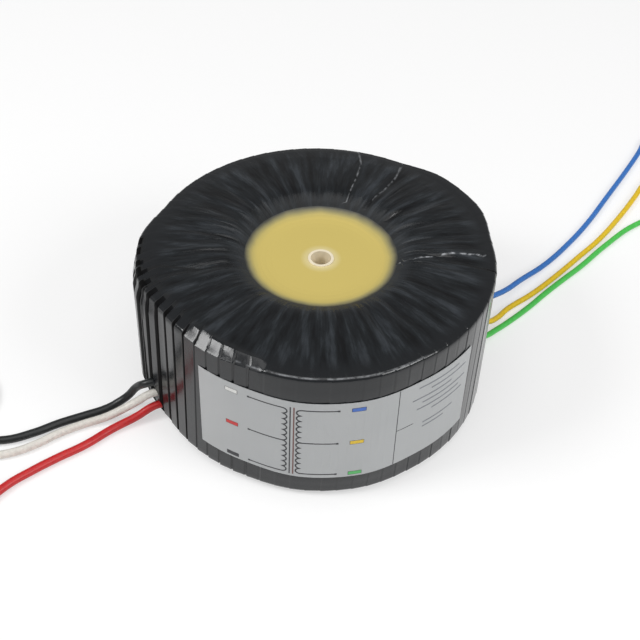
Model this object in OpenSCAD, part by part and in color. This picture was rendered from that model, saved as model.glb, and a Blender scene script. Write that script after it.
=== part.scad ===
// Toroidal mains transformer, resin-filled eye, lapped tape over the windings.
// It stands on the flat underside of the resin. Z runs up the axis of the mounting
// hole, and the origin is on that axis, in the plane that the part stands on.

/* [Ring] */
// Outside diameter over the tape, away from the splice pads
ring_d = 114; // [108:0.5:125]
// Height over the two crests
ring_h = 55; // [50:0.5:64]
// How far a crest stands above the outer rim
crest_rise = 1.5; // [0.8:0.1:3]
// Radius at which the crests lie
crest_r = 34; // [32:0.5:40]
// Radius of the eye, the round space that the resin fills
eye_r = 22.5; // [18:0.5:25]
// Height of the rounded nose between crest and eye wall
nose_h = 8.5; // [6:0.5:12]

/* [Core] */
// Height of the strip-wound steel core
core_h = 40; // [34:0.5:43]
// Inside diameter of the core
core_id = 64; // [58:0.5:70]
// Bevel on the core's edges
core_edge = 1; // [0.5:0.1:2]

/* [Windings, thickness at the outer wall] */
// Tape that insulates the core
core_insulation_t = 0.5; // [0.3:0.1:1]
// Primary winding
primary_t = 1.5; // [0.8:0.1:2]
// Insulation between the two windings
mid_insulation_t = 0.5; // [0.3:0.1:1]
// Secondary winding
secondary_t = 1.3; // [0.8:0.1:2]
// Insulation over the secondary winding
top_insulation_t = 0.4; // [0.3:0.1:0.8]

/* [Outer tape] */
// Thickness of the wound tape at the outer wall
tape_t = 0.8; // [0.7:0.1:1.5]
// Number of turns that the tape makes through the eye
turns = 73; // [60:1:80]
// Step at the edge of each turn
lap_step = 0.22; // [0.1:0.02:0.3]
// Radius of the fold at the outer rims
rim_fold = 1.5; // [1:0.1:2.5]
// Depth of the pleats on the two faces
pleat_depth = 0.35; // [0.1:0.05:0.4]
// Width of the tape, seen whole at the last turn
tape_w = 19; // [12:1:25]
// Where the last turn lies, degrees from +X
last_turn_at = 66; // [40:1:140]

/* [Resin and sleeve] */
// How far the resin round the sleeve lies below the upper crest
resin_dip = 5; // [3:0.1:8]
// Radius of the resin's upper edge, where it thins out on the tape
resin_edge_r = 25.5; // [24.5:0.25:28]
// Radius inside which the resin's surface is flat
resin_flat_r = 14; // [8:0.5:18]
// Radius of the resin's flat underside, on which the ring stands
resin_foot_r = 29.5; // [27:0.25:31]
// How far the underside stands out of the lower crest
resin_proud = 0.3; // [0.1:0.1:1]
// Mounting hole, clearance for an M6 bolt
bore_d = 6.6; // [5.5:0.1:8.6]
// Wall of the plastic sleeve that lines the hole
sleeve_wall = 0.9; // [0.6:0.1:2]
// How far the sleeve stands out of the resin
sleeve_proud = 0.3; // [0.1:0.1:1]

/* [Label] */
// Height of the label
label_h = 34; // [20:1:36]
// Length of the label round the ring
label_w = 95; // [60:1:110]
// Height of the label's lower edge
label_z = 10.4; // [9.5:0.1:12]
// Middle of the label, degrees from +X
label_at = 279; // [260:1:290]
// Thickness of the label
label_t = 0.12; // [0.08:0.02:0.3]

/* [Leads] */
// Outside diameter of the heavy leads
heavy_d = 2.8; // [2.4:0.1:2.8]
// Outside diameter of the light leads
light_d = 2.1; // [1.8:0.1:2.1]
// Height that a splice pad adds under the tape
pad_t = 4; // [3:0.1:4.5]
// Share of that height which reaches the rims
pad_at_rim = 0.7; // [0.4:0.05:0.9]
// Length of a pad round the ring, degrees
pad_angle = 16; // [14:1:20]
// Height of a pad's lower edge
pad_z = 13; // [12.5:0.5:15]
// Height of a pad
pad_h = 33; // [24:1:34]
// Diameter of the shrink sleeve on a splice
splice_d = 2.4; // [1.8:0.1:3]
// Height that the last, unfinished layer of wire adds at the front
part_layer_t = 1.4; // [0:0.1:1.6]
// Length of the shrink sleeve on a splice
splice_l = 16; // [10:1:20]
// Bared and tinned length at the end of a lead
tip_l = 5; // [4:0.5:6]
// Clearance of a lead in its hole through the tape
lead_gap = 0.1; // [0.05:0.05:0.2]

/* [Hidden] */
$fn = 96;

ring_r = ring_d / 2;
half_h = ring_h / 2;
mid_z = half_h + resin_proud;
rim_z = half_h - crest_rise;
core_ir = core_id / 2;
core_z = core_h / 2;

// Outer wall of each layer, counted from the core outwards
build_t = core_insulation_t + primary_t + mid_insulation_t + secondary_t
    + top_insulation_t + tape_t;
core_r = ring_r - build_t;
at_core = 0;
at_core_insulation = core_insulation_t;
at_primary = at_core_insulation + primary_t;
at_mid_insulation = at_primary + mid_insulation_t;
at_secondary = at_mid_insulation + secondary_t;
at_top_insulation = at_secondary + top_insulation_t;
wound_r = core_r + at_top_insulation;

// Height of the face above the middle plane, and of the nose that turns into the eye
function face_z(r) = rim_z + crest_rise * sin(90 * (ring_r - r) / (ring_r - crest_r));
function nose_z(r) = half_h - nose_h
    + nose_h * sqrt(max(0, 1 - pow((crest_r - r) / (crest_r - eye_r), 2)));
function mix(a, b, t) = a + (b - a) * t;

// Upper half section of the finished ring, and the core's section with as many corners
nose_turns = [20, 38, 55, 72, 90];
finished = concat(
    [[ring_r, 0], [ring_r, rim_z - 2.5 * rim_fold], [ring_r - 0.1, rim_z - rim_fold],
     [ring_r - 0.3 * rim_fold - 0.1, rim_z - 0.3 * rim_fold],
     [ring_r - rim_fold - 0.1, rim_z]],
    [for (t = [0.35, 0.7, 1]) let (r = mix(ring_r - rim_fold, crest_r, t)) [r, face_z(r)]],
    [for (a = nose_turns) [crest_r - (crest_r - eye_r) * sin(a),
                           half_h - nose_h * (1 - cos(a))]],
    [[eye_r, 0]]);
bare = concat(
    [[core_r, 0], [core_r, core_z - 3 * core_edge], [core_r, core_z - core_edge],
     [core_r - 0.3 * core_edge, core_z - 0.3 * core_edge], [core_r - core_edge, core_z]],
    [for (t = [0.35, 0.65, 0.85]) [mix(core_r - core_edge, core_ir + core_edge, t), core_z]],
    [[core_ir + core_edge, core_z], [core_ir + 0.3 * core_edge, core_z - 0.3 * core_edge],
     [core_ir, core_z - core_edge], [core_ir, core_z - 2 * core_edge],
     [core_ir, core_z - 4 * core_edge], [core_ir, 0]]);

// Closed section of the build at a given thickness over the core. The wire piles up
// towards the eye, so a layer grows from the core's section to the finished one.
function section(t) = let (n = len(bare))
    concat([for (i = [0:n - 1]) let (p = mix(bare[i], finished[i], t / build_t))
                [p[0], mid_z + p[1]]],
           [for (i = [n - 2:-1:1]) let (p = mix(bare[i], finished[i], t / build_t))
                [p[0], mid_z - p[1]]]);

module ring_solid(t) rotate_extrude() polygon(section(t));
module layer(inner, outer) difference() { ring_solid(outer); ring_solid(inner); }

// ---- core and windings ----
module core() color("#8d9196") ring_solid(at_core);
module core_insulation() color("#d8cfa8") layer(at_core, at_core_insulation);
module primary_winding() color("#b5652a") layer(at_core_insulation, at_primary);
module winding_insulation() color("#d9b84a") layer(at_primary, at_mid_insulation);
module secondary_winding() color("#b5652a") layer(at_mid_insulation, at_secondary);
module top_insulation() color("#d9b84a") difference() {
    layer(at_secondary, at_top_insulation);
    pad_block(secondary_pad_at);
    pad_block(primary_pad_at);
    lead_holes(lead_gap);
}

// ---- splice pads: cloth pads under the tape, with the soldered joints in them ----
secondary_pad_at = 186;
primary_pad_at = 36;
secondary_r = core_r + at_secondary;
pad_outer_r = wound_r + pad_t;
splice_r = (secondary_r + pad_outer_r) / 2;
splice_step = pad_angle / 4;

module pad_block(at) rotate([0, 0, at - pad_angle / 2]) rotate_extrude(angle = pad_angle)
    translate([secondary_r, pad_z]) square([pad_outer_r - secondary_r, pad_h]);
module splice(at, place) rotate([0, 0, at + place * splice_step])
    translate([splice_r, 0, pad_z + (pad_h - splice_l) / 2])
        cylinder(d = splice_d, h = splice_l, $fn = 32);
module splice_pad(at) difference() {
    pad_block(at);
    for (place = [-1:1]) splice(at, place);
}
module secondary_splice_pad() color("#c9c2ae") splice_pad(secondary_pad_at);
module primary_splice_pad() color("#c9c2ae") splice_pad(primary_pad_at);
module black_splice() color("#222222") splice(secondary_pad_at, -1);
module white_splice() color("#222222") splice(secondary_pad_at, 0);
module red_splice() color("#222222") splice(secondary_pad_at, 1);
module green_splice() color("#222222") splice(primary_pad_at, -1);
module yellow_splice() color("#222222") splice(primary_pad_at, 0);
module blue_splice() color("#222222") splice(primary_pad_at, 1);

// ---- resin and sleeve ----
// The resin fills the eye, climbs a little on the tape at the top and was cast flat at
// the bottom, where the ring stands on it.
sleeve_r = bore_d / 2 + sleeve_wall;
resin_top = mid_z + half_h - resin_dip;
edge_top_z = nose_z(resin_edge_r);
eye_wall_top = asin((crest_r - resin_edge_r) / (crest_r - eye_r));
eye_wall_low = asin((crest_r - resin_foot_r) / (crest_r - eye_r));
wall_steps = 7;
function wall_point(a) = [crest_r - (crest_r - eye_r) * sin(a), half_h - nose_h * (1 - cos(a))];
eye_wall = concat(
    [for (i = [0:wall_steps]) let (p = wall_point(mix(eye_wall_low, 90, i / wall_steps)))
        [p[0], mid_z - p[1]]],
    [for (i = [wall_steps:-1:0]) let (p = wall_point(mix(eye_wall_top, 90, i / wall_steps)))
        [p[0], mid_z + p[1]]]);
meniscus = [for (i = [1:6]) let (t = 1 - i / 6)
    [mix(resin_flat_r, resin_edge_r, t),
     mix(resin_top, mid_z + edge_top_z, pow(t, 3))]];

module resin_plug() color("#cdb96a") rotate_extrude()
    polygon(concat([[sleeve_r, 0], [resin_foot_r, 0]], eye_wall, meniscus,
                   [[sleeve_r, resin_top]]));
module mounting_sleeve() color("#efe6cc") rotate_extrude() difference() {
    square([sleeve_r, resin_top + sleeve_proud]);
    translate([0, -1]) square([bore_d / 2, ring_h + 2]);
}
// Everything inside the eye, cut out of the tape
module eye_space() rotate_extrude()
    polygon(concat([[0, -1], [resin_foot_r, -1]], eye_wall,
                   [[resin_edge_r - 1.2, mid_z + edge_top_z + 1.2],
                    [0, mid_z + edge_top_z + 1.2]]));

// ---- outer tape ----
// One long tape, wound through the eye. Each turn lies flat on the outer wall,
// laps the turn before it, folds over the rims and gathers into pleats on the faces.
pitch = 360 / turns;
last_turn = round(last_turn_at / pitch);
last_turn_width = round(tape_w / (ring_r * PI / 180) / pitch);
face_steps = [0.12, 0.4, 0.7, 1];
nose_steps = [0.45, 0.8, 1];
lip = 0.8;
low_pad_edge = mid_z - pad_z + 2;
high_pad_edge = pad_z + pad_h - mid_z + 1.5;
jitter = rands(-1, 1, 2 * turns, 7);

// Half of the tape's section from the outer wall to the eye. Each entry holds the
// radius, the height from the middle plane, the direction in which the laps rise,
// and the share of lap, pleat and pad bulge at that place.
function tape_half(edge_r, pad_edge) = concat(
    [[ring_r, pad_edge, 0, 1, 0, 1],
     [ring_r - 0.1, rim_z - rim_fold - 1, 0, 1, 0, pad_at_rim],
     [ring_r - 0.3 * rim_fold - 0.1, rim_z - 0.3 * rim_fold, 45, 1, 0, pad_at_rim],
     [ring_r - rim_fold - 0.1, rim_z, 90, 0.8, 0.1, pad_at_rim]],
    [for (t = face_steps) let (r = mix(ring_r - rim_fold, crest_r, t))
        [r, face_z(r), 90, mix(0.8, 0.4, t), mix(0.2, 1, t), pad_at_rim * (1 - t)]],
    [for (t = nose_steps) let (r = mix(crest_r, edge_r + lip, t))
        [r, nose_z(r), 95, 0.4 * (1 - t), 0.9 * (1 - t), 0]],
    [[edge_r - 1.5, nose_z(edge_r - 1.5) + 0.6, 90, 0, 0, 0],
     [eye_r - 3, half_h - nose_h - 3, 90, 0, 0, 0]]);
upper_half = tape_half(resin_edge_r, high_pad_edge);
lower_half = tape_half(resin_foot_r, low_pad_edge);
tape_section = concat(
    [for (i = [len(lower_half) - 1:-1:0]) let (p = lower_half[i])
        [p[0], -p[1], -p[2], p[3], p[4], p[5]]],
    [[ring_r, 0, 0, 1, 0, 1]], upper_half);
places = len(tape_section);
function run(i) = i == 0 ? 0 : run(i - 1)
    + norm([tape_section[i][0] - tape_section[i - 1][0],
            tape_section[i][1] - tape_section[i - 1][1]]);
tape_length = run(places - 1) + 2 * (half_h - nose_h - 3);

function in_last_turn(i) = i >= last_turn && i < last_turn + last_turn_width;
function near(a, b) = abs((a - b + 540) % 360 - 180);
function fade(x, from, to) = let (t = min(1, max(0, (x - from) / (to - from))))
    1 - t * t * (3 - 2 * t);
part_layer_at = 276;
function bulge(a) = max(
    pad_t * fade(near(a, secondary_pad_at), pad_angle / 2, pad_angle / 2 + 20),
    pad_t * fade(near(a, primary_pad_at), pad_angle / 2, pad_angle / 2 + 20),
    part_layer_t * fade(near(a, part_layer_at), 8, 30));

// A turn has a raised leading side (side 0) and a trailing side (side 1). Laps and
// pleats stay inside the finished section, and only the last turn lies proud of them.
lap_gap = 0.06;
last_turn_rise = 1.5 * lap_step;
function tape_point(turn, side, place) = let (
    p = tape_section[place],
    a = pitch * (turn + side * (1 - lap_gap) + run(place) / tape_length),
    lap = (in_last_turn(turn) ? last_turn_rise : lap_step * (1 - side)) - last_turn_rise,
    pleat = -pleat_depth * (side == 0 ? 0.25 + 0.25 * jitter[turn]
                                      : 0.75 + 0.25 * jitter[turn + turns]),
    rise = p[3] * lap + p[4] * pleat * (in_last_turn(turn) ? 0.3 : 1),
    r = p[0] + rise * cos(p[2]) + p[5] * bulge(a),
    z = p[1] + rise * sin(p[2]))
    [r * cos(a), r * sin(a), mid_z + z];
tape_points = [for (turn = [0:turns - 1]) for (side = [0, 1]) for (i = [0:places - 1])
    tape_point(turn, side, i)];
function at_point(turn, side, i) = let (over = i >= places ? 1 : 0)
    (((turn + over) % turns) * 2 + side) * places + i - over * places;
function two(a, b, c, d) = [[a, b, c], [a, c, d]];
tape_faces = [for (turn = [0:turns - 1]) for (i = [0:places - 1]) for (side = [0, 1])
    let (next = turn + side, other = 1 - side)
    each two(at_point(turn, side, i), at_point(turn, side, i + 1),
             at_point(next, other, i + 1), at_point(next, other, i))];

module outer_tape() color("#26282b") difference() {
    polyhedron(tape_points, tape_faces, convexity = 8);
    ring_solid(at_top_insulation);
    pad_block(secondary_pad_at);
    pad_block(primary_pad_at);
    eye_space();
    lead_holes(lead_gap);
}

// Faces of a tube of points in rings, with its two ends closed
function sweep_faces(count, sides) = concat([[for (k = [0:sides - 1]) k]],
    [for (i = [0:count - 2]) for (k = [0:sides - 1])
        let (a = i * sides + k, b = i * sides + (k + 1) % sides)
        each two(a, a + sides, b + sides, b)],
    [[for (k = [sides - 1:-1:0]) (count - 1) * sides + k]]);

// ---- label, printed film stuck on the ridges of the laps and following the bulges ----
ridge_r = ring_r - last_turn_rise + lap_step;
label_angle = label_w / ring_r * 180 / PI;
label_steps = round(label_angle / pitch * 2);
function label_ring(a) = let (r = ridge_r + bulge(a), out = toward(a),
        low = [0, 0, label_z], high = [0, 0, label_z + label_h])
    [r * out + low, (r + label_t) * out + low, (r + label_t) * out + high, r * out + high];
module label() color("#b4b6b8") polyhedron(
    [for (i = [0:label_steps])
        each label_ring(label_at + label_angle * (i / label_steps - 0.5))],
    sweep_faces(label_steps + 1, 4));

// ---- leads ----
// Each lead leaves the ring through a hole in the tape, drops to the surface that the
// ring stands on, and runs out to a small flat coil of two turns side by side.
coil_turn = 300;
heavy_coil_r = 16;
light_coil_r = 11;
seat_r = wound_r - 0.3;
run_in = 4;

// A row holds the direction and the height of the exit, the middle of the coil, the
// direction from there to the coil's start, and the way round (1 is anticlockwise)
black_row = [203, 13.3, [-127, -24], 270, -1];
white_row = [204.5, 9.6, [-130, -66], 90, 1];
red_row = [206, 5, [-124, -108], 0, -1];
blue_row = [24, 11, [154, 136], 90, -1];
yellow_row = [19, 7.5, [149, 106.5], 90, -1];
green_row = [13.5, 3.8, [144, 78], 90, -1];

heavy_z = heavy_d / 2;
light_z = light_d / 2;
black_route = [[-60, -22.3, 9.5], [-63, -22.6, 5.6], [-66.3, -23.6, 3.2], [-70, -25.3, 1.8],
    [-77, -28.5, heavy_z], [-85, -32.5, heavy_z], [-92.5, -37, heavy_z],
    [-101, -40.5, heavy_z]];
white_route = [[-60, -26, 6.2], [-65, -27.6, 3.6], [-70, -29.6, 2], [-77, -32.5, heavy_z],
    [-84.5, -37, heavy_z], [-91, -42, heavy_z], [-98.5, -46, heavy_z],
    [-109, -48.2, heavy_z]];
red_route = [[-59.5, -29.2, 2.6], [-67, -34, heavy_z], [-75, -41.5, heavy_z],
    [-82.5, -47, heavy_z], [-90, -53, heavy_z],
    [-97, -59.5, heavy_z], [-102.5, -68, heavy_z], [-105.5, -79, heavy_z],
    [-106.6, -92, heavy_z]];
blue_route = [[60.5, 28.8, 9.2], [64.5, 33, 7], [70, 39, 4.8], [76, 46.5, 3], [86.5, 57.5, 1.6],
    [98, 72, light_z], [107, 85, light_z], [116.5, 101, light_z], [130.5, 125, light_z],
    [136.5, 136, light_z], [140.5, 144, light_z], [145.5, 148, light_z]];
yellow_route = [[61.5, 21.8, 4.2], [65.5, 26, 2.2], [70, 32, 1.3], [80, 41, light_z],
    [90, 51.4, light_z], [101, 64, light_z], [110, 74.5, light_z],
    [121.5, 91, light_z], [129.5, 104, light_z], [134.5, 112.5, light_z],
    [140.5, 118.5, light_z]];
green_route = [[60.6, 15.8, 2.8], [65, 20.4, 1.6], [70, 25.4, light_z],
    [78, 33.5, light_z], [85.5, 42, light_z], [93, 50, light_z], [101, 58.3, light_z],
    [112, 71, light_z], [126.5, 85.2, light_z], [134.5, 89.6, light_z]];

function toward(a) = [cos(a), sin(a), 0];
// Radius at which a lead is clear of the tape and may bend
function clear_r(row) = ring_r + bulge(row[0]) + 1.5;
function coil_centre(row, d) = [row[2][0], row[2][1], d / 2];
function lead_path(row, d, route, coil_r) = let (
    out = toward(row[0]), up = [0, 0, row[1]],
    entry = coil_centre(row, d) + (coil_r + d / 2) * toward(row[3]),
    heading = row[4] * toward(row[3] + 90))
    concat([seat_r * out + up, clear_r(row) * out + up], route,
           [entry - run_in * heading, entry]);

function unit(v) = v / norm(v);
sides = 8;
function ring_of(path, i, d) = let (
    last = len(path) - 1,
    along = unit(path[min(last, i + 1)] - path[max(0, i - 1)]),
    across = unit(cross(along, [0, 0, 1])),
    over = cross(across, along))
    [for (k = [0:sides - 1]) let (a = 360 * k / sides)
        path[i] + d / 2 * (cos(a) * across + sin(a) * over)];
module tube(path, d) {
    count = len(path);
    polyhedron([for (i = [0:count - 1]) each ring_of(path, i, d)],
        sweep_faces(count, sides));
}
module lead(row, d, route, coil_r) tube(lead_path(row, d, route, coil_r), d);

// The two turns lie side by side, open for a short way where the lead comes in
module coil(row, d, coil_r) translate([row[2][0], row[2][1], 0])
    rotate([0, 0, row[4] > 0 ? row[3] : row[3] - coil_turn])
        rotate_extrude(angle = coil_turn) translate([coil_r, d / 2])
            polygon([for (s = [[1, 0.4], [0.8, 0.85], [0.5, 1]]) [d * s[0], d / 2 * s[1]],
                     for (s = [[0.5, 1], [0.8, 0.85], [1, 0.4]]) [-d * s[0], d / 2 * s[1]],
                     for (s = [[1, 0.4], [0.8, 0.85], [0.5, 1]]) [-d * s[0], -d / 2 * s[1]],
                     for (s = [[0.5, 1], [0.8, 0.85], [1, 0.4]]) [d * s[0], -d / 2 * s[1]]]);

// Bared and tinned strands, straight on from the inner turn
tip_share = 0.45;
module tip(row, d, coil_r) translate(coil_centre(row, d))
    rotate([0, 0, row[3] + row[4] * coil_turn]) translate([coil_r - d / 2, 0, 0])
        rotate([row[4] > 0 ? -90 : 90, 0, 0]) cylinder(d = tip_share * d, h = tip_l, $fn = 24);

module hole(row, d, gap) rotate([0, 0, row[0]]) translate([seat_r, 0, row[1]])
    rotate([0, 90, 0]) cylinder(d = d + 2 * gap, h = clear_r(row) - seat_r, $fn = 32);
module lead_holes(gap) {
    for (row = [black_row, white_row, red_row]) hole(row, heavy_d, gap);
    for (row = [blue_row, yellow_row, green_row]) hole(row, light_d, gap);
}

module black_lead() color("#2c2f2f") lead(black_row, heavy_d, black_route, heavy_coil_r);
module white_lead() color("#e9e4da") lead(white_row, heavy_d, white_route, heavy_coil_r);
module red_lead() color("#c8262a") lead(red_row, heavy_d, red_route, heavy_coil_r);
module blue_lead() color("#3f7cc2") lead(blue_row, light_d, blue_route, light_coil_r);
module yellow_lead() color("#ebbe2d") lead(yellow_row, light_d, yellow_route, light_coil_r);
module green_lead() color("#58c95e") lead(green_row, light_d, green_route, light_coil_r);
module black_coil() color("#2c2f2f") coil(black_row, heavy_d, heavy_coil_r);
module white_coil() color("#e9e4da") coil(white_row, heavy_d, heavy_coil_r);
module red_coil() color("#c8262a") coil(red_row, heavy_d, heavy_coil_r);
module blue_coil() color("#3f7cc2") coil(blue_row, light_d, light_coil_r);
module yellow_coil() color("#ebbe2d") coil(yellow_row, light_d, light_coil_r);
module green_coil() color("#58c95e") coil(green_row, light_d, light_coil_r);
module black_tip() color("#c9ccce") tip(black_row, heavy_d, heavy_coil_r);
module white_tip() color("#c9ccce") tip(white_row, heavy_d, heavy_coil_r);
module red_tip() color("#c9ccce") tip(red_row, heavy_d, heavy_coil_r);
module blue_tip() color("#c9ccce") tip(blue_row, light_d, light_coil_r);
module yellow_tip() color("#c9ccce") tip(yellow_row, light_d, light_coil_r);
module green_tip() color("#c9ccce") tip(green_row, light_d, light_coil_r);

core();
core_insulation();
primary_winding();
winding_insulation();
secondary_winding();
top_insulation();
primary_splice_pad();
secondary_splice_pad();
black_splice();
white_splice();
red_splice();
blue_splice();
yellow_splice();
green_splice();
outer_tape();
resin_plug();
mounting_sleeve();
label();
black_lead();
black_coil();
black_tip();
white_lead();
white_coil();
white_tip();
red_lead();
red_coil();
red_tip();
blue_lead();
blue_coil();
blue_tip();
yellow_lead();
yellow_coil();
yellow_tip();
green_lead();
green_coil();
green_tip();
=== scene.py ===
# A toroidal mains transformer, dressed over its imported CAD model. Units are metres.
import math
import random
import bpy
import numpy as np
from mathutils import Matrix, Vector, geometry


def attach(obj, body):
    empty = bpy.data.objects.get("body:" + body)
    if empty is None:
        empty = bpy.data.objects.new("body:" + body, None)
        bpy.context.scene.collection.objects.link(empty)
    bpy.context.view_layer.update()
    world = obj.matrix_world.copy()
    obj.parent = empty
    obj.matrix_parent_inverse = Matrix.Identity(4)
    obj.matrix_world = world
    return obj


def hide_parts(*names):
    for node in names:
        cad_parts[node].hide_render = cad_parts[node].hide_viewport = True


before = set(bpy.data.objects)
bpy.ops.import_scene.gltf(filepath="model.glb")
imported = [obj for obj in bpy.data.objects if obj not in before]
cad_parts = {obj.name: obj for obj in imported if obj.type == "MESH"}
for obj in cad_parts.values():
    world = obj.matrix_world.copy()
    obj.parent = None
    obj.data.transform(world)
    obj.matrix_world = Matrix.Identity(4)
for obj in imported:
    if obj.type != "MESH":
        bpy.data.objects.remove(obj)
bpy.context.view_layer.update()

MM = 0.001

# ---- camera ----
# A plain camera with a 67.5 mm lens. It looks down at the ring from the front, at 44
# degrees above the floor.
bpy.ops.object.camera_add(location=(0, -0.29443, 0.30583),
                          rotation=[math.radians(a) for a in (46.0889, -1.6789, 1.5134)])
camera = bpy.context.object
camera.data.sensor_width = 36
camera.data.lens = 67.5
camera.data.clip_start = 0.01
camera.data.clip_end = 20
bpy.context.scene.camera = camera

# ---- leads ----
# Six stranded copper wires in soft PVC. They come out of two slots in the tape, drop to
# the surface the ring stands on and end in small flat coils of two turns, with the ends
# bared and tinned.
HEAVY = 2.8 * MM
LIGHT = 2.1 * MM
RING_R = 57
TAPE_T = 0.8
SEAT_R = RING_R - TAPE_T - 0.3
COIL_TURN = 300
CHANGE_OVER = 52
TURN_STEP = 20
# Where the wall stands out of the round: azimuth, height in mm and the degrees at which it
# has died away. Two are the splice pads, the third is a part layer of wire.
SWELLINGS = ((186, 4, 28), (36, 4, 28), (276, 1.4, 30))
SWELLING_FULL = 8

# name, diameter, exit azimuth and height, coil centre, coil radius, start, sense, route
LEADS = [
    ("black", HEAVY, 203, 13.3, (-127, -24), 16, 270, -1,
     [(-60, -22.3, 9.5), (-63, -22.6, 5.6), (-66.3, -23.6, 3.2), (-70, -25.3, 1.8),
      (-77, -28.5, 1.4), (-85, -32.5, 1.4), (-92.5, -37, 1.4), (-101, -40.5, 1.4)]),
    ("white", HEAVY, 204.5, 9.6, (-130, -66), 16, 90, 1,
     [(-60, -26, 6.2), (-65, -27.6, 3.6), (-70, -29.6, 2), (-77, -32.5, 1.4),
      (-84.5, -37, 1.4), (-91, -42, 1.4), (-98.5, -46, 1.4), (-109, -48.2, 1.4)]),
    ("red", HEAVY, 206, 5, (-124, -108), 16, 0, -1,
     [(-59.5, -29.2, 2.6), (-67, -34, 1.4), (-75, -41.5, 1.4), (-82.5, -47, 1.4),
      (-90, -53, 1.4), (-97, -59.5, 1.4), (-102.5, -68, 1.4), (-105.5, -79, 1.4),
      (-106.6, -92, 1.4)]),
    ("blue", LIGHT, 24, 11, (154, 136), 11, 90, -1,
     [(60.5, 28.8, 9.2), (64.5, 33, 7), (70, 39, 4.8), (76, 46.5, 3), (86.5, 57.5, 1.6),
      (98, 72, 1.05), (107, 85, 1.05), (116.5, 101, 1.05), (130.5, 125, 1.05),
      (136.5, 136, 1.05), (140.5, 144, 1.05), (145.5, 148, 1.05)]),
    ("yellow", LIGHT, 19, 7.5, (149, 106.5), 11, 90, -1,
     [(61.5, 21.8, 4.2), (65.5, 26, 2.2), (70, 32, 1.3), (80, 41, 1.05),
      (90, 51.4, 1.05), (101, 64, 1.05), (110, 74.5, 1.05), (121.5, 91, 1.05),
      (129.5, 104, 1.05), (134.5, 112.5, 1.05), (140.5, 118.5, 1.05)]),
    ("green", LIGHT, 13.5, 3.8, (144, 78), 11, 90, -1,
     [(60.6, 15.8, 2.8), (65, 20.4, 1.6), (70, 25.4, 1.05), (78, 33.5, 1.05),
      (85.5, 42, 1.05), (93, 50, 1.05), (101, 58.3, 1.05), (112, 71, 1.05),
      (126.5, 85.2, 1.05), (134.5, 89.6, 1.05)]),
]
LEAD_COLOURS = {
    "black": (0.014, 0.016, 0.017), "white": (0.80, 0.77, 0.71),
    "red": (0.60, 0.018, 0.020), "blue": (0.045, 0.20, 0.62),
    "yellow": (0.92, 0.62, 0.025), "green": (0.085, 0.62, 0.10)}


def smooth(t):
    t = np.clip(t, 0, 1)
    return t * t * (3 - 2 * t)


def degrees_from(a, b):
    """The turn from b to a, between -180 and 180 degrees."""
    return (a - b + 540) % 360 - 180


def window(a, middle, full, gone):
    """1 within `full` degrees of the middle, falling to 0 at `gone` degrees."""
    return 1 - smooth((np.abs(degrees_from(a, middle)) - full) / (gone - full))


def bulge(a):
    """How far the wall stands out of the round at an azimuth, in mm."""
    return np.max([h * window(a, at, SWELLING_FULL, gone) for at, h, gone in SWELLINGS],
                  axis=0)


def lead_points(exit_at, exit_z, centre, coil_r, start, sense, route, d):
    """Centreline in millimetres: exit, route, then the outer and the inner turn."""
    c, s = math.cos(math.radians(exit_at)), math.sin(math.radians(exit_at))
    clear_r = RING_R + bulge(exit_at) + 1.5
    points = [(SEAT_R * c, SEAT_R * s, exit_z), (clear_r * c, clear_r * s, exit_z)] + route
    outer, inner = coil_r + d / 2, coil_r - d / 2
    heading = start + 90
    ex = centre[0] + outer * math.cos(math.radians(start))
    ey = centre[1] + outer * math.sin(math.radians(start))
    hx, hy = (sense * f(math.radians(heading)) for f in (math.cos, math.sin))
    points.append((ex - 4 * hx, ey - 4 * hy, d / 2))
    turned = 0
    while turned <= 360 + COIL_TURN:
        r = outer + (inner - outer) * smooth((turned - COIL_TURN) / CHANGE_OVER)
        a = math.radians(start + sense * turned)
        points.append((centre[0] + r * math.cos(a), centre[1] + r * math.sin(a), d / 2))
        turned += TURN_STEP
    return points


def bezier_length(curve):
    spline = curve.splines[0]
    total = 0
    for a, b in zip(spline.bezier_points, spline.bezier_points[1:]):
        line = geometry.interpolate_bezier(a.co, a.handle_right, b.handle_left, b.co, 12)
        total += sum((q - p).length for p, q in zip(line, line[1:]))
    return total


MIX_A, MIX_B, MIX_OUT = 6, 7, 2


def graph(name):
    """A new material, its shader, and two functions that add nodes and links to it."""
    material = bpy.data.materials.new(name)
    material.use_nodes = True
    tree = material.node_tree

    def node(kind, operation=None, stops=None, sockets=None, **values):
        made = tree.nodes.new("ShaderNode" + kind)
        if operation:
            made.operation = operation
        if kind == "Mix":
            made.data_type = "RGBA"
        if stops:
            elements = made.color_ramp.elements
            for element, (at, colour) in zip(elements, (stops[0], stops[-1])):
                element.position, element.color = at, (*colour, 1)
            for at, colour in stops[1:-1]:
                elements.new(at).color = (*colour, 1)
        for key, value in values.items():
            made.inputs[key.replace("_", " ")].default_value = value
        for key, value in (sockets or {}).items():
            made.inputs[key].default_value = value
        return made

    def join(*joints):
        for source, out, target, at in joints:
            tree.links.new(source.outputs[out], target.inputs[at])

    return material, tree.nodes["Principled BSDF"], node, join


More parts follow.
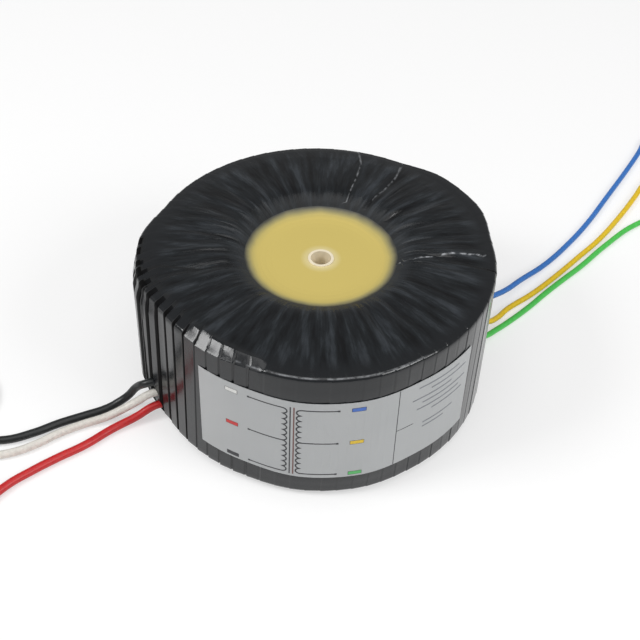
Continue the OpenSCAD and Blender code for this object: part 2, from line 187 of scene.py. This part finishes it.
def mottled(name, colour, roughness, metallic=0, scale=300, amount=0.12, depth=0.0001):
    """A material whose colour, roughness and height all vary a little from place to place."""
    material, shader, node, join = graph(name)
    place = node("TexCoord")
    noise = node("TexNoise", Scale=scale, Detail=3)
    tint = node("ValToRGB", stops=((0.3, [(1 - amount) * c for c in colour]),
                                   (0.7, [min(1, (1 + amount / 2) * c) for c in colour])))
    rough = node("MapRange", From_Min=0.3, From_Max=0.7, To_Min=0.8 * roughness,
                 To_Max=min(1, 1.2 * roughness))
    bump = node("Bump", Strength=0.12, Distance=depth)
    join((place, "Object", noise, "Vector"), (noise, "Fac", tint, "Fac"),
         (noise, "Fac", rough, "Value"), (noise, "Fac", bump, "Height"),
         (tint, "Color", shader, "Base Color"), (rough, "Result", shader, "Roughness"),
         (bump, "Normal", shader, "Normal"))
    shader.inputs["Metallic"].default_value = metallic
    return material


def dress(solid, material):
    """Give a solid of the CAD model its material."""
    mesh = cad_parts[solid].data
    mesh.materials.clear()
    mesh.materials.append(material)


tin = mottled("tinned_strands", (0.62, 0.63, 0.65), 0.3, 1, 1500)
for name, d, exit_at, exit_z, centre, coil_r, start, sense, route in LEADS:
    points = lead_points(exit_at, exit_z, centre, coil_r, start, sense, route, d / MM)
    curve = bpy.data.curves.new(name + "_wire", "CURVE")
    curve.dimensions = "3D"
    spline = curve.splines.new("BEZIER")
    spline.bezier_points.add(len(points) - 1)
    for knot, p in zip(spline.bezier_points, points):
        knot.co = Vector(p) * MM
        knot.handle_left_type = knot.handle_right_type = "AUTO"
    curve.bevel_depth = d / 2
    curve.bevel_resolution = 5
    curve.resolution_u = 6
    curve.use_fill_caps = True
    wire = bpy.data.objects.new(name + "_wire", curve)
    bpy.context.scene.collection.objects.link(wire)
    curve.materials.append(mottled(name + "_pvc", LEAD_COLOURS[name], 0.36, scale=900,
                                   depth=0.0002))
    bpy.context.view_layer.update()
    length = bezier_length(curve)
    print("LENGTH", name, round(length, 4))
    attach(wire, "root")
    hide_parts(name + "_lead", name + "_coil")
    dress(name + "_tip", tin)

# ---- outer tape ----
# One long dark polyester tape, wound through the eye in 73 turns. Each turn lies flat on
# the wall, laps the one before, folds over the rims and gathers into pleats on the faces.
TURNS = 73
PITCH = 360 / TURNS
COLUMNS = 13
MID_Z = 27.8
RIM_Z = 26
RIM_FOLD = 1.5
CREST_R = 34
EYE_R = 22.5
NOSE_H = 8.5
FACE_RISE = 1.5
FACE_STEPS = 24
LAP = 0.24
AT_RIM = 0.7
SINK = 0.33


def face_z(r):
    return RIM_Z + FACE_RISE * math.sin(math.radians(90) * (RING_R - r) / (RING_R - CREST_R))


def half_section():
    """Radius, height over the middle plane, lap direction, and the shares of lap, pleat
    and bulge at each place from the middle of the wall to the eye."""
    places = [(RING_R, z, 0, 1, 0, 1) for z in (0, 6, 12, 16, 19)]
    places += [(RING_R, z, 0, 1, 0, 1 - (1 - AT_RIM) * smooth((z - 19) / 5)) for z in (21, 23)]
    for turn in (0, 15, 30, 45, 60, 75, 90):
        a = math.radians(turn)
        places.append((RING_R - RIM_FOLD * (1 - math.cos(a)),
                       RIM_Z - RIM_FOLD * (1 - math.sin(a)),
                       turn, 1 - 0.6 * turn / 90, 0, AT_RIM))
    for i in range(1, FACE_STEPS + 1):
        t = i / FACE_STEPS
        r = RING_R - RIM_FOLD + (CREST_R - RING_R + RIM_FOLD) * t
        places.append((r, face_z(r), 90, 0.4 * (1 - t) ** 3, smooth(1.5 * t), AT_RIM * (1 - t)))
    for turn in range(6, 91, 6):
        a = math.radians(turn)
        r = CREST_R - (CREST_R - EYE_R) * math.sin(a)
        places.append((r, RIM_Z + FACE_RISE - NOSE_H * (1 - math.cos(a)), 90 + turn, 0, 1, 0))
    places.append((EYE_R, 9, 180, 0, 0, 0))
    return places


half = half_section()
section = [(r, -z, -d, lap, pleat, share) for r, z, d, lap, pleat, share in reversed(half[1:])]
section += half
section_run = [0]
for a, b in zip(section, section[1:]):
    section_run.append(section_run[-1] + math.hypot(b[0] - a[0], b[1] - a[1]))

bpy.ops.object.select_all(action="DESELECT")
profile = bpy.data.meshes.new("outer_tape")
profile.from_pydata([(r * MM, 0, (MID_Z + z) * MM) for r, z, *_ in section],
                    [(i, i + 1) for i in range(len(section) - 1)] + [(len(section) - 1, 0)], [])
tape = bpy.data.objects.new("tape_wrap", profile)
bpy.context.scene.collection.objects.link(tape)
bpy.context.view_layer.objects.active = tape
tape.select_set(True)
bpy.ops.object.mode_set(mode="EDIT")
bpy.ops.mesh.select_all(action="SELECT")
bpy.ops.mesh.spin(steps=TURNS * COLUMNS, angle=2 * math.pi, center=(0, 0, 0), axis=(0, 0, 1))
bpy.ops.mesh.select_all(action="SELECT")
bpy.ops.mesh.remove_doubles(threshold=0.00001)
bpy.ops.mesh.normals_make_consistent(inside=False)
bpy.ops.object.mode_set(mode="OBJECT")


co = np.empty(len(profile.vertices) * 3)
profile.vertices.foreach_get("co", co)
co = co.reshape(-1, 3) / MM
azimuth = np.degrees(np.arctan2(co[:, 1], co[:, 0])) % 360
radius = np.hypot(co[:, 0], co[:, 1])
height = co[:, 2] - MID_Z
known = np.array([p[:2] for p in section])
nearest = np.argmin((known[None, :, 0] - radius[:, None]) ** 2
                    + (known[None, :, 1] - height[:, None]) ** 2, axis=1)
direction, lap_share, pleat_share, bulge_share = np.array([p[2:] for p in section])[nearest].T
column = np.rint(azimuth / 360 * TURNS * COLUMNS).astype(int) % (TURNS * COLUMNS)
turn = column // COLUMNS
across = (column % COLUMNS) / (COLUMNS - 1)
run = np.array(section_run)[nearest] / section_run[-1]
upper = height > 0
on_face = np.abs(height) > RIM_Z - 0.5
upper_face = upper & (height > 15)

# Azimuth with the tape's advance. The turns swing by a few degrees as they leave the rim.
TURN_WIDTH = 0.94
SWING = -4
swing = SWING * smooth((RING_R - radius) / 10) * on_face * np.where(upper, 1, -1)
a = PITCH * (turn + across * TURN_WIDTH + run) + swing

# A fold runs from the eye outwards: where it is, how wide, how high, how far out it
# reaches and how much it leans
chance = random.Random(7)
folds = [(chance.uniform(0, 360), chance.uniform(1.4, 4.2), chance.uniform(-0.42, 0.34),
          chance.uniform(44, 56), chance.uniform(-6, 2)) for _ in range(75)]
folds += [(chance.uniform(0, 360), chance.uniform(0.4, 0.9), chance.uniform(-0.13, 0.08),
           chance.uniform(34, 50), chance.uniform(-5, 3)) for _ in range(190)]
STEEP_SIDE, GENTLE_SIDE = 0.7, 1.5
pleat = np.zeros(len(a))
for at, wide, high, reach, lean in folds:
    x = degrees_from(a, at + lean * (radius - 26) / 30)
    wide = wide * (0.75 + 0.35 * (radius - 25) / 25)
    side = np.where(x > 0, STEEP_SIDE, GENTLE_SIDE)
    pleat += high * np.exp(-(x / (side * wide)) ** 2) * smooth((reach - radius) / 10)
pleat *= pleat_share * smooth((radius - 24.5) / 6)

# The wall's facets are flat. On the left, dark gaps of painted shade part them, where the turns
# stand off each other, and painted shade darkens the strips over the left pad.
flat = np.where(on_face, smooth(1 - (RING_R - radius) / 8), (radius > 50) * 1.0)
half_turn = math.radians(PITCH * TURN_WIDTH) / 2
chord = (math.cos(half_turn) / np.cos(2 * half_turn * (across - 0.5)) - 1) * flat * radius
left_wall = window(a, 218, 24, 38)
groove = -(0.04 + 0.3 * left_wall) * (across > 0.9) * flat
gap_from = np.clip(0.5 + 0.45 * (a - 203) / 30, 0.5, 0.92)
over_pad = np.abs(degrees_from(a, 189)) < 12
painted_shade = np.maximum(left_wall * (across > gap_from) * flat,
                  over_pad * (flat > 0.9) * (across > 0.12 * (turn * 7 % 5)))

# A painted highlight, a light line, runs along the front rim
gleam = 0.4 * (direction == 60) * window(a, 274, 24, 34) * upper

# Long edges of single turns that show on the upper face: radius and azimuth along the edge, its
# step, over how many degrees it dies away, and the strength of its painted line, a painted
# highlight where positive and painted shade where negative
EDGES = [
    ([(57, 78.3), (48, 74.5), (39, 73.5), (27, 73)], 0.16, 14, 0.45),
    ([(57, 61), (46, 57.7), (38, 57), (32, 57.9), (27, 56)], -0.20, -14, 0.35),
    ([(53, 359.8), (42, 359.6), (38, 357.7), (32, 354.6), (25.7, 351.3)], 0.30, 5, 1.0),
    ([(57, 352.9), (45, 353.2), (38, 353.6)], -0.22, 4, -1),
    ([(57, 194), (50, 192.5), (38, 198.9)], -0.24, -9, -1),
    ([(57, 201.5), (48, 199), (38, 198.9)], -0.24, -9, -0.8),
]
HIGHLIGHT_WIDTH, SHADE_WIDTH = 0.28, 0.55
for edge, step, decay, highlight_or_shade in EDGES:
    edge_r, edge_a = np.array(edge[::-1]).T
    x = degrees_from(a, np.interp(radius, edge_r, edge_a))
    on = smooth((edge_r[-1] + 2 - radius) / 3) * smooth((radius - edge_r[0] + 3) / 4)
    behind = x * np.sign(decay)
    one_side = smooth(0.5 + behind / 0.5) * np.exp(-np.clip(behind, 0, None) / abs(decay) * 2)
    pleat += step * one_side * on * (upper_face & (radius < RING_R - 1.2))
    drawn = (radius < edge_r[-1] + 0.5) * (radius > edge_r[0]) * upper_face
    # A painted highlight along a light edge, painted shade along a dark one
    if highlight_or_shade > 0:
        gleam += highlight_or_shade * np.exp(-(x / HIGHLIGHT_WIDTH) ** 2) * drawn
    else:
        painted_shade = np.maximum(painted_shade, -highlight_or_shade * np.exp(-(x / SHADE_WIDTH) ** 2) * drawn)

# Each facet's two edges stand in and out by chance
tilt = np.array([[chance.uniform(-0.05, 0.05) for _ in range(2)] for _ in range(TURNS)])
tilt = (tilt[turn, 0] * (1 - across) + tilt[turn, 1] * across) * flat

# The folds at the rim stand up a little and fall off in flat slopes, near the label's
# left end
FOLD_LIFT = 0.8
slope = np.array([chance.uniform(0.68, 0.80) for _ in range(TURNS)])[turn]
slope_r = np.array([chance.uniform(53.1, 54.0) for _ in range(TURNS)])[turn]
folded = window(a, 239, 13, 16)
pleat *= 1 - folded * smooth((radius - 50) / 2)
lifted = np.where(radius > slope_r,
                  np.minimum(height + FOLD_LIFT, 27.2 - slope * (radius - slope_r)),
                  height + FOLD_LIFT * smooth((radius - slope_r + 2.5) / 2.5))
press = folded * (lifted - height) * (height > 24.3)

rise = (LAP * (0.35 + 0.65 * left_wall) * (1 - across) + groove) * lap_share + pleat
lean = np.radians(direction)
new_r = radius + chord + tilt + rise * np.cos(lean) + bulge_share * bulge(a) - SINK
new_z = co[:, 2] + rise * np.sin(lean) + press
around = np.radians(a)
co[:, 0], co[:, 1], co[:, 2] = new_r * np.cos(around), new_r * np.sin(around), new_z
profile.vertices.foreach_set("co", (co * MM).ravel())
for title, amount in (("painted_shade", painted_shade), ("gleam", gleam)):
    attribute = profile.attributes.new(title, "FLOAT", "POINT")
    attribute.data.foreach_set("value", amount.astype(np.float32))
profile.update()
bpy.ops.object.shade_smooth_by_angle(angle=math.radians(24))

# Streaks run from the eye outwards: noise over the direction from the middle, which changes
# slowly with the radius. They set a painted sheen in the faces' colour, and the gloss and the
# bumps of the faces.
film, shader, node, join = graph("tape_film")
place = node("TexCoord")
level = node("VectorMath", "MULTIPLY", sockets={1: (1, 1, 0)})
bearing = node("VectorMath", "NORMALIZE")
spread = node("VectorMath", "SCALE", Scale=14)
reach = node("VectorMath", "LENGTH")
slow = node("Math", "MULTIPLY", sockets={1: 55})
upright = node("CombineXYZ")
polar = node("VectorMath", "ADD")
streak = node("TexNoise", Scale=1, Detail=5, Roughness=0.62)
join((place, "Object", level, 0), (level, 0, bearing, 0), (level, 0, reach, 0),
     (bearing, 0, spread, 0), (reach, "Value", slow, 0), (slow, 0, upright, 2),
     (spread, 0, polar, 0), (upright, 0, polar, 1), (polar, 0, streak, "Vector"))
faces = node("MapRange", From_Min=0.0495, From_Max=0.0545, To_Min=1, To_Max=0)
streak_sheen = node("ValToRGB", stops=((0.36, (0.002, 0.0025, 0.0035)),
                               (0.52, (0.010, 0.0125, 0.0150)),
                               (0.74, (0.042, 0.049, 0.058))))
face_sheen = node("Mix", sockets={MIX_A: (0.010, 0.0115, 0.0135, 1)})
join((reach, "Value", faces, "Value"), (streak, "Fac", streak_sheen, "Fac"),
     (faces, 0, face_sheen, 0), (streak_sheen, 0, face_sheen, MIX_B))

# A film of resin on the tape next to the eye, thickest at the front
haze = node("MapRange", From_Min=0.0255, From_Max=0.0305, To_Min=0.55, To_Max=0)
axes = node("SeparateXYZ")
front = node("MapRange", From_Min=-0.012, From_Max=0.014, To_Min=1.1, To_Max=0.1)
front_haze = node("Math", "MULTIPLY")
hazy_tone = node("Mix", sockets={MIX_B: (0.040, 0.047, 0.056, 1)})
join((reach, "Value", haze, "Value"), (place, "Object", axes, 0),
     (axes, 1, front, "Value"), (haze, 0, front_haze, 0), (front, 0, front_haze, 1),
     (front_haze, 0, hazy_tone, 0), (face_sheen, MIX_OUT, hazy_tone, MIX_A))

# Painted shade in the dark gaps, and painted highlights as light, broken lines at the turns'
# edges
painted_shade_attribute = node("Attribute")
painted_shade_attribute.attribute_name = "painted_shade"
gleams = node("Attribute")
gleams.attribute_name = "gleam"
black = node("Mix", sockets={MIX_B: (0.0012, 0.0012, 0.0014, 1)})
grain = node("TexNoise", Scale=420, Detail=2)
broken = node("MapRange", From_Min=0.40, From_Max=0.62)
lit_edge = node("Math", "MULTIPLY")
bright = node("Mix", sockets={MIX_B: (0.55, 0.57, 0.60, 1)})
join((place, "Object", grain, "Vector"), (grain, "Fac", broken, "Value"),
     (painted_shade_attribute, "Fac", black, 0), (hazy_tone, MIX_OUT, black, MIX_A),
     (gleams, "Fac", lit_edge, 0), (broken, 0, lit_edge, 1),
     (lit_edge, 0, bright, 0), (black, MIX_OUT, bright, MIX_A),
     (bright, MIX_OUT, shader, "Base Color"))

gloss = node("MapRange", From_Min=0.3, From_Max=0.7, To_Min=0.09, To_Max=0.26)
dull = node("Math", "ADD")
rougher = node("Math", "MULTIPLY_ADD", sockets={1: 0.6})
ridges = node("Math", "MULTIPLY")
ripple = node("Math", "MULTIPLY_ADD", sockets={1: 0.05})
bump = node("Bump", Strength=0.8, Distance=0.0006)
join((streak, "Fac", gloss, "Value"), (gloss, 0, dull, 0), (haze, 0, dull, 1),
     (painted_shade_attribute, "Fac", rougher, 0), (dull, 0, rougher, 2), (rougher, 0, shader, "Roughness"),
     (streak, "Fac", ridges, 0), (faces, 0, ridges, 1), (grain, "Fac", ripple, 0),
     (ridges, 0, ripple, 2), (ripple, 0, bump, "Height"), (bump, "Normal", shader, "Normal"))
shader.inputs["IOR"].default_value = 1.5

# A shaded copy of the same film, with weaker reflection, for the faces under painted shade:
# where a turn's edge stands off the wall, or where the wall turns away
dark_film = film.copy()
dark_film.name = "tape_film_in_shade"
dark_shader = dark_film.node_tree.nodes["Principled BSDF"]
dark_shader.inputs["Specular IOR Level"].default_value = 0.12
profile.materials.append(film)
profile.materials.append(dark_film)
corner = np.empty(len(profile.loops), dtype=np.int32)
profile.loops.foreach_get("vertex_index", corner)
first_corner = np.empty(len(profile.polygons), dtype=np.int32)
profile.polygons.foreach_get("loop_start", first_corner)
shaded = np.minimum.reduceat((painted_shade * (flat > 0.5))[corner], first_corner) > 0.5
profile.polygons.foreach_set("material_index", shaded.astype(np.int32))
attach(tape, "root")
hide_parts("outer_tape")

# ---- resin ----
# Cast epoxy that fills the eye. It thins out on the tape at its edge, where the dark
# tape shows through.
epoxy, shader, node, join = graph("cast_resin")
place = node("TexCoord")
level = node("VectorMath", "MULTIPLY", sockets={1: (1, 1, 0)})
reach = node("VectorMath", "LENGTH")
cloud = node("TexNoise", Scale=130, Detail=2)
wander = node("Math", "MULTIPLY_ADD", sockets={1: 0.0016})
thin = node("MapRange", From_Min=0.0212, From_Max=0.0261)
fade_out = node("ValToRGB", stops=((0, (0.66, 0.525, 0.150)), (0.30, (0.58, 0.475, 0.150)),
                                   (0.60, (0.30, 0.27, 0.13)), (0.84, (0.075, 0.075, 0.060)),
                                   (1, (0.012, 0.013, 0.014))))
# Paler near the sleeve: a painted highlight, the glow round the sleeve's rim
near_hole = node("MapRange", From_Min=0.0040, From_Max=0.0068, To_Min=0.55, To_Max=0)
halo_highlight = node("Mix", sockets={MIX_B: (0.86, 0.78, 0.52, 1)})
gloss = node("MapRange", To_Min=0.34, To_Max=0.50)
join((place, "Object", level, 0), (level, 0, reach, 0), (place, "Object", cloud, "Vector"),
     (cloud, "Fac", wander, 0), (reach, "Value", wander, 2), (wander, 0, thin, "Value"),
     (thin, 0, fade_out, "Fac"), (reach, "Value", near_hole, "Value"),
     (near_hole, 0, halo_highlight, 0), (fade_out, "Color", halo_highlight, MIX_A),
     (halo_highlight, MIX_OUT, shader, "Base Color"), (cloud, "Fac", gloss, "Value"),
     (gloss, 0, shader, "Roughness"))
shader.inputs["Coat Weight"].default_value = 0.08
shader.inputs["Coat Roughness"].default_value = 0.15
dress("resin_plug", epoxy)

# ---- mounting sleeve ----
# A short tube of pale plastic, cast into the resin. It lines the hole for the bolt and
# stands a little above the resin.
ivory = mottled("ivory_sleeve", (0.92, 0.82, 0.62), 0.35, scale=500, amount=0.06)
dress("mounting_sleeve", ivory)

# ---- label ----
# Printed film on the wall. The print is a plain winding diagram in thin ink lines, a
# chip of colour for each lead and short bars in place of words.
LABEL_AT = 279
RIDGE = 0.22
LABEL_T = 0.12
INK_LIFT = 0.03
INK_DEPTH = 0.06
INK_R = RING_R - SINK + RIDGE + LABEL_T + INK_LIFT
film_white, shader, node, join = graph("label_film")
place = node("TexCoord")
patch = node("TexNoise", Scale=40)
tint = node("ValToRGB", stops=((0, (0.40, 0.415, 0.42)), (1, (0.49, 0.50, 0.505))))
satin = node("MapRange", To_Min=0.32, To_Max=0.52)
join((place, "Object", patch, "Vector"), (patch, "Fac", tint, "Fac"),
     (tint, "Color", shader, "Base Color"), (patch, "Fac", satin, "Value"),
     (satin, "Result", shader, "Roughness"))
dress("label", film_white)

INK_COLOURS = [
    ("ink_black", (0.03, 0.03, 0.035)), ("ink_brown", (0.16, 0.06, 0.05)),
    ("ink_grey", (0.22, 0.23, 0.25)), ("chip_white", (0.80, 0.80, 0.78)),
    ("chip_red", (0.62, 0.03, 0.03)), ("chip_blue", (0.06, 0.16, 0.55)),
    ("chip_yellow", (0.80, 0.55, 0.04)), ("chip_green", (0.10, 0.50, 0.14))]
(BLACK_INK, BROWN_INK, GREY_INK, WHITE_CHIP, RED_CHIP, BLUE_CHIP, YELLOW_CHIP,
 GREEN_CHIP) = range(len(INK_COLOURS))
print_co, print_faces, print_ink = [], [], []


def on_label(u, v, lift=0):
    """The point u mm along the wall from the label's middle, and v mm up."""
    a = math.radians(LABEL_AT + math.degrees(u / RING_R))
    r = INK_R + lift + bulge(math.degrees(a))
    return (r * math.cos(a) * MM, r * math.sin(a) * MM, v * MM)


def ink_line(points, thick, ink):
    """A closed ribbon along points on the label. Its lower side lies in the film."""
    fine = [points[0]]
    for p, q in zip(points, points[1:]):
        n = max(1, math.ceil(math.hypot(q[0] - p[0], q[1] - p[1]) / 1.5))
        fine += [(p[0] + (q[0] - p[0]) * i / n, p[1] + (q[1] - p[1]) * i / n)
                 for i in range(1, n + 1)]
    first = len(print_co)
    for i, (u, v) in enumerate(fine):
        b, e = fine[max(0, i - 1)], fine[min(len(fine) - 1, i + 1)]
        du, dv = e[0] - b[0], e[1] - b[1]
        k = thick / 2 / math.hypot(du, dv)
        for lift in (0, -INK_DEPTH):
            print_co.extend((on_label(u - dv * k, v + du * k, lift),
                             on_label(u + dv * k, v - du * k, lift)))
    last = first + 4 * (len(fine) - 1)
    faces = [(first, first + 2, first + 3, first + 1), (last + 1, last + 3, last + 2, last)]
    for k in range(first, last, 4):
        faces += [(k + 1, k + 5, k + 4, k), (k + 2, k + 6, k + 7, k + 3),
                  (k, k + 4, k + 6, k + 2), (k + 3, k + 7, k + 5, k + 1)]
    print_faces.extend(faces)
    print_ink.extend([ink] * len(faces))


def winding(u, side, low, high, bumps):
    """Half circles in a column, from the high end to the low end."""
    step = (high - low) / bumps
    line = [(u, high)]
    for i in range(bumps):
        for k in range(1, 9):
            a = math.pi * k / 8
            line.append((u + side * 0.62 * step * math.sin(a),
                         high - step * (i + 0.5 - 0.5 * math.cos(a))))
    ink_line(line, COIL_LINE, BLACK_INK)


COIL_LINE, LEAD_LINE, CORE_LINE, FRAME_LINE, TEXT_BAR = 0.46, 0.42, 0.38, 0.14, 0.55
LONG_RULE, SHORT_RULE = 0.24, 0.22
TOP, TAP, LOW = 41.3, 26.6, 12.0
for u, side, ends in ((-18.6, 1, -29.4), (-12.7, -1, -1.9)):
    winding(u, side, TAP, TOP, 6)
    winding(u, side, LOW, TAP, 6)
    for v in (TOP, TAP, LOW):
        ink_line([(u, v), (ends, v)], LEAD_LINE, BLACK_INK)
        ink_line([(ends, v - 0.35), (ends, v + 0.35)], 0.7, BLACK_INK)
for u, ink in ((-16.1, BLACK_INK), (-15.0, BROWN_INK)):
    ink_line([(u, LOW - 0.6), (u, TOP + 0.8)], CORE_LINE, ink)
CHIP_W, CHIP_H = 4.2, 1.5
CHIPS = [(-35.2, TOP, WHITE_CHIP), (-35.2, TAP, RED_CHIP), (-35.2, LOW, BLACK_INK),
         (4.0, TOP, BLUE_CHIP), (4.0, TAP, YELLOW_CHIP), (4.0, LOW, GREEN_CHIP)]
for u, v, ink in CHIPS:
    left, right, down, up = u - CHIP_W / 2, u + CHIP_W / 2, v - CHIP_H / 2, v + CHIP_H / 2
    ink_line([(left, v), (right, v)], CHIP_H, ink)
    corners = [(left, down), (right, down), (right, up), (left, up)]
    for p, q in zip(corners, corners[1:] + corners[:1]):
        ink_line([p, q], FRAME_LINE, BLACK_INK)
ink_line([(16.9, 10.5), (16.9, 44.3)], LONG_RULE, BLACK_INK)
ink_line([(16.9, 26.2), (23.2, 26.2)], SHORT_RULE, BLACK_INK)
for v, left, right in ((41.6, 24, 41), (39.2, 29, 45), (36.8, 22, 38), (34.4, 26, 45),
                       (32.0, 24, 42), (29.6, 30, 44), (24.6, 27, 40), (22.6, 27, 36)):
    ink_line([(left, v), (right, v)], TEXT_BAR, GREY_INK)

art = bpy.data.meshes.new("label_print")
art.from_pydata(print_co, [], print_faces)
for title, colour in INK_COLOURS:
    art.materials.append(mottled(title, colour, 0.5, scale=700))
art.polygons.foreach_set("material_index", print_ink)
label_print = bpy.data.objects.new("label_print", art)
bpy.context.scene.collection.objects.link(label_print)
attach(label_print, "root")

# ---- core, windings and joints, under the tape ----
# Strip-wound steel core, enamelled copper windings between wraps of polyester tape, and
# cloth pads over the soldered joints of the leads.
steel = mottled("core_steel", (0.42, 0.44, 0.46), 0.38, 1)
copper = mottled("enamelled_copper", (0.60, 0.24, 0.09), 0.3, 1, 150, 0.3)
polyester = mottled("polyester_wrap", (0.72, 0.52, 0.13), 0.4, 0, 120, 0.2)
cloth = mottled("pad_cloth", (0.62, 0.57, 0.46), 0.8, 0, 900, 0.3, 0.0003)
shrink = mottled("shrink_sleeve", (0.015, 0.015, 0.016), 0.5, 0, 600)
for solid, material in (("core", steel), ("core_insulation", polyester),
                        ("primary_winding", copper), ("winding_insulation", polyester),
                        ("secondary_winding", copper), ("top_insulation", polyester),
                        ("primary_splice_pad", cloth), ("secondary_splice_pad", cloth)):
    dress(solid, material)
for name, *_ in LEADS:
    dress(name + "_splice", shrink)

# ---- floor and light ----
# A white paper floor in a dim room, with a lamp on each side and a wide one overhead. To
# the camera and in reflections the paper shines a little of its own, so it looks white.
bpy.ops.mesh.primitive_plane_add(size=6, location=(0, 0, -0.0002))
floor = bpy.context.object
floor.name = "floor"
paper, shader, node, join = graph("white_floor")
paper.node_tree.nodes.remove(shader)
matt = node("BsdfDiffuse", Color=(0.9, 0.9, 0.9, 1))
dim = node("BsdfDiffuse", Color=(0.55, 0.55, 0.55, 1))
glow = node("Emission", Strength=0.5)
shining = node("AddShader")
rays = node("LightPath")
camera_or_glossy = node("Math", "ADD")
seen = node("Math", "ADD")
choose = node("MixShader")
join((rays, "Is Camera Ray", camera_or_glossy, 0), (rays, "Is Glossy Ray", camera_or_glossy, 1),
     (camera_or_glossy, 0, seen, 0), (rays, "Is Transmission Ray", seen, 1),
     (dim, 0, shining, 0), (glow, 0, shining, 1), (seen, 0, choose, "Fac"),
     (matt, 0, choose, 1), (shining, 0, choose, 2),
     (choose, 0, paper.node_tree.nodes["Material Output"], "Surface"))
floor.data.materials.append(paper)

world = bpy.data.worlds.new("room")
bpy.context.scene.world = world
world.use_nodes = True
background = world.node_tree.nodes["Background"]
background.inputs["Color"].default_value = (1, 1, 1, 1)
background.inputs["Strength"].default_value = 0.27


def softbox(name, at, width, height, watts):
    bpy.ops.object.light_add(type="AREA", location=at)
    lamp = bpy.context.object
    lamp.name = name
    lamp.data.shape = "RECTANGLE"
    lamp.data.size, lamp.data.size_y = width, height
    lamp.data.energy = watts
    aim = Vector((0, 0, 0.03)) - lamp.location
    lamp.rotation_euler = aim.to_track_quat("-Z", "Y").to_euler()


softbox("left_softbox", (-0.75, -0.25, 0.75), 0.36, 0.36, 4.3)
softbox("right_softbox", (0.8, -0.45, 0.7), 0.45, 0.45, 4.3)
softbox("top_softbox", (0, -0.3, 1.3), 1.2, 1.2, 5.5)

bpy.context.scene.view_settings.view_transform = "Standard"
